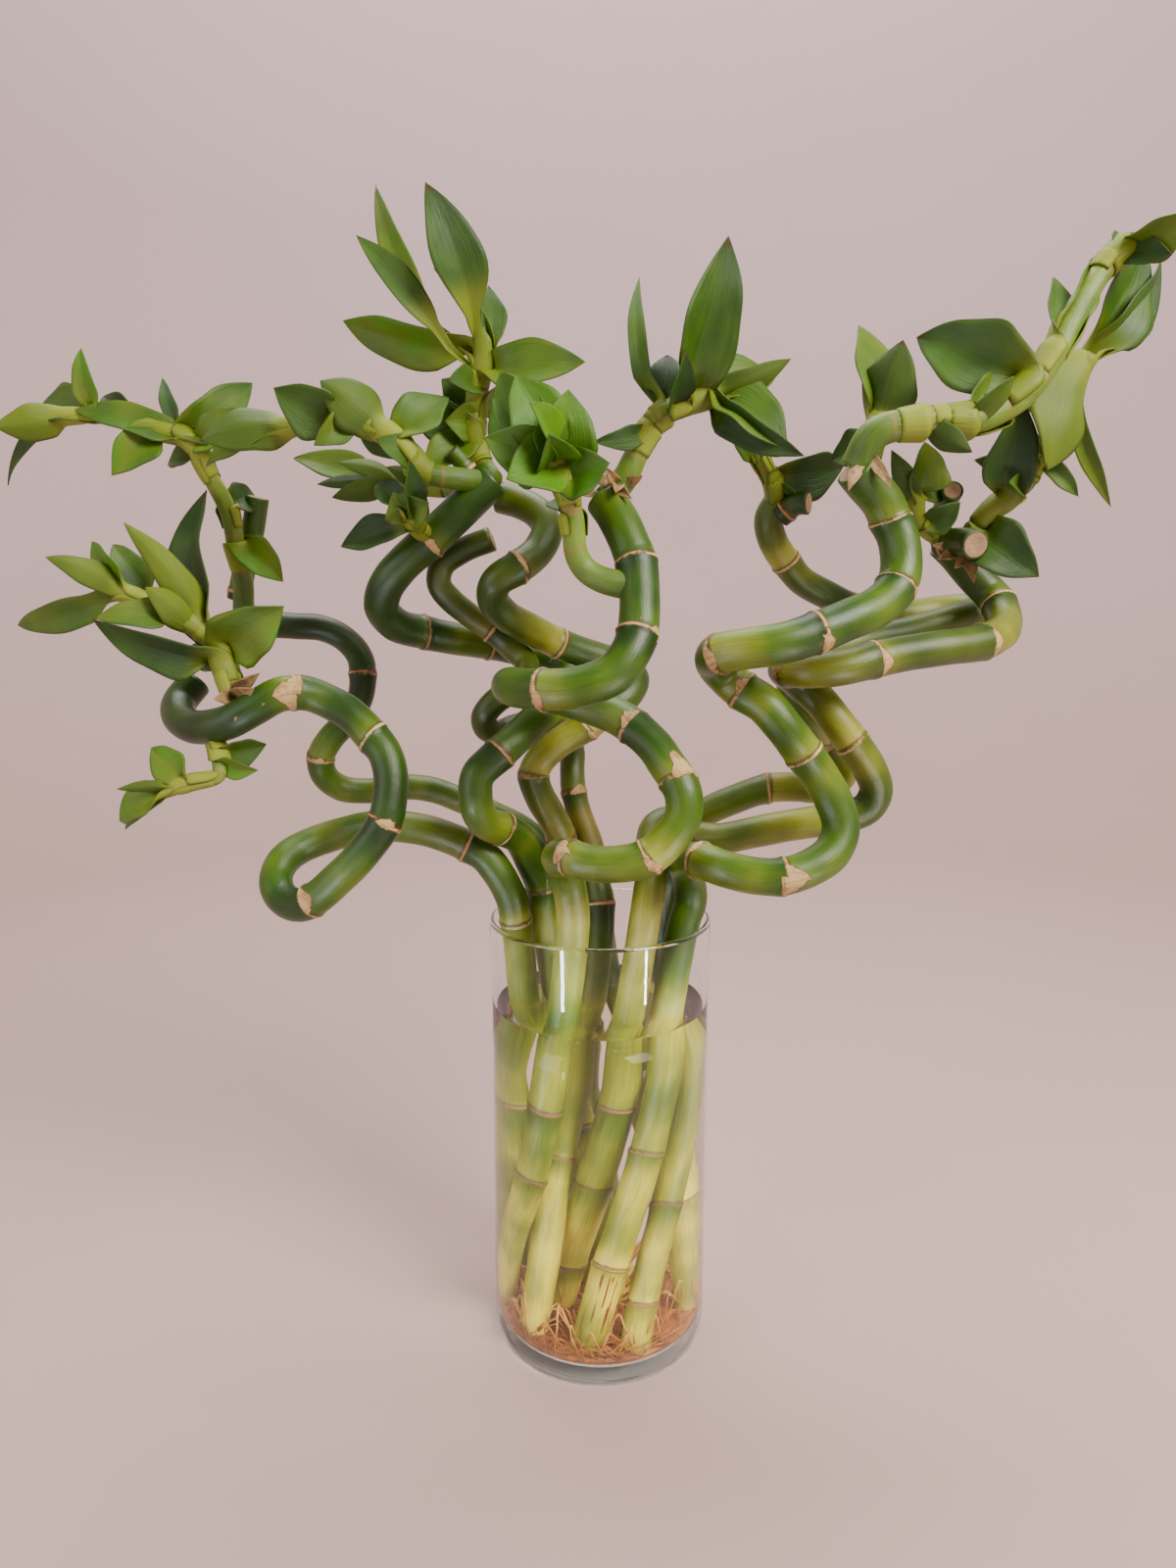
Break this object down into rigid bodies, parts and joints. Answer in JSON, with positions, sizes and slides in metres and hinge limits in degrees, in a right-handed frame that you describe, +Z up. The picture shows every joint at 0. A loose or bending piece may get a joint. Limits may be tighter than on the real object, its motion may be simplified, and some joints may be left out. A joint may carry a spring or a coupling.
{
  "type": "lucky bamboo in glass vase",
  "caption": "Lucky bamboo with curled canes and leafy shoots, standing in water in a clear glass cylinder vase.",
  "frame": {"origin": "middle of the vase's foot, on the surface that it stands on", "axes": "+Z up along the vase's axis; -Y towards the viewer of the picture, so +X is to the right"},
  "size_m": [0.5004, 0.1477, 0.52],
  "materials": {
    "glass": "clear, smooth, polished",
    "water": "clear still water, faintly yellow-green",
    "roots": "wet orange-brown root mat, matte",
    "cane_dark_green": "smooth green stem, satin, with tan node rings",
    "cane_olive": "smooth olive-green stem, satin, with tan node rings",
    "cane_brown": "brownish green stem, satin, with dry scars",
    "leaf": "fresh green leaf, satin, with fine lengthwise veins"
  },
  "bodies": {
    "root": {"vase": "glass", "water": "water", "roots": "roots", "cane_left_front": "cane_dark_green", "cane_left_back": "cane_dark_green", "cane_left_curl": "cane_dark_green", "cane_middle_olive": "cane_olive", "cane_brown_back": "cane_brown", "cane_front_spiral": "cane_dark_green", "cane_middle_right": "cane_olive", "cane_right_far": "cane_olive", "cane_right_front": "cane_dark_green", "shoot_left_long": "leaf", "shoot_left_wave": "leaf", "shoot_left_tip": "leaf", "shoot_left_low": "leaf", "shoot_curl_side": "leaf", "shoot_curl_tip": "leaf", "shoot_top_left": "leaf", "shoot_centre": "leaf", "shoot_top_middle": "leaf", "shoot_right_back": "leaf", "shoot_right_pair": "leaf", "shoot_right_long": "leaf", "shoot_right_side": "leaf", "shoot_right_inner": "leaf"}
  },
  "joints": []
}
